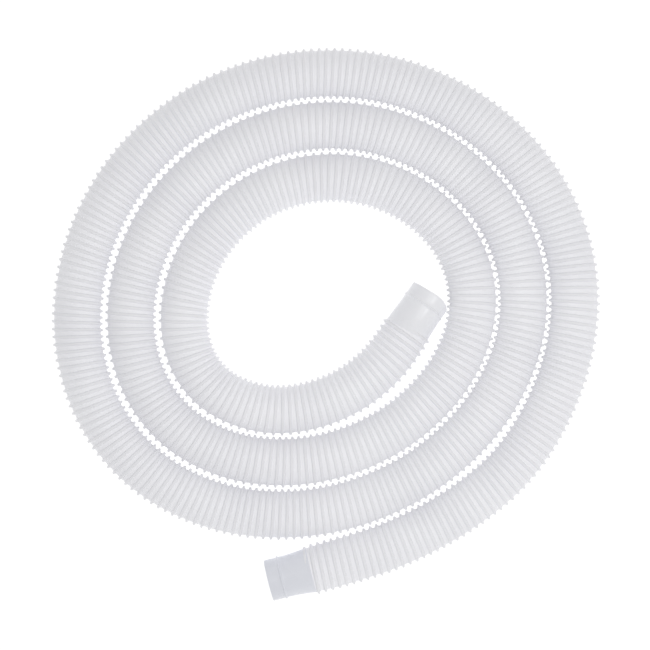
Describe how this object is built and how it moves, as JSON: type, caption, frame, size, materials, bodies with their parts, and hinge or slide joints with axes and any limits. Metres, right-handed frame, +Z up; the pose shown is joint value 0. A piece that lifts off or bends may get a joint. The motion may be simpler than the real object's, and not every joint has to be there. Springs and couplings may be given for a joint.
{
  "type": "pool vacuum hose",
  "caption": "Ribbed flexible pool vacuum hose lying in a flat open coil, with a plain push-on cuff at each end; both ends flex sideways away from the coil.",
  "frame": {"origin": "centre of the coil's bounding box, on the floor that the hose lies on", "axes": "+Z up out of the coil's plane; +X and +Y across the coil, with the outer cuff's mouth facing -X beside the outermost turn on the -Y side"},
  "size_m": [0.4583, 0.4612, 0.0424],
  "materials": {
    "hose_wall": "slightly translucent white polyethylene, semi-matt",
    "hose_rib": "slightly translucent white polyethylene, semi-matt",
    "cuff": "smooth moulded white plastic, satin"
  },
  "bodies": {
    "root": {"hose_wall_coil": "hose_wall", "hose_rib_coil_01": "hose_rib", "hose_rib_coil_02": "hose_rib", "hose_rib_coil_03": "hose_rib", "hose_rib_coil_04": "hose_rib", "hose_rib_coil_05": "hose_rib", "hose_rib_coil_06": "hose_rib", "hose_rib_coil_07": "hose_rib", "hose_rib_coil_08": "hose_rib", "hose_rib_coil_09": "hose_rib", "hose_rib_coil_10": "hose_rib", "hose_rib_coil_11": "hose_rib", "hose_rib_coil_12": "hose_rib"},
    "inner_end": {"hose_wall_inner_bend": "hose_wall", "hose_rib_inner_bend": "hose_rib", "inner_cuff": "cuff"},
    "outer_end": {"hose_wall_outer_bend": "hose_wall", "hose_rib_outer_bend": "hose_rib", "outer_cuff": "cuff"}
  },
  "joints": [
    {"name": "inner_end_flex", "type": "hinge", "parent": "root", "child": "inner_end", "pos_m": [0.0239, -0.0523, 0.0212], "axis": [0, 0, 1], "range_deg": [0, 35], "stiffness_Nm_per_rad": 0.6, "deforming": ["hose_wall_inner_bend", "hose_rib_inner_bend"]},
    {"name": "outer_end_flex", "type": "hinge", "parent": "root", "child": "outer_end", "pos_m": [0.0546, -0.1849, 0.0212], "axis": [0, 0, 1], "range_deg": [0, 35], "stiffness_Nm_per_rad": 0.6, "deforming": ["hose_wall_outer_bend", "hose_rib_outer_bend"]}
  ]
}
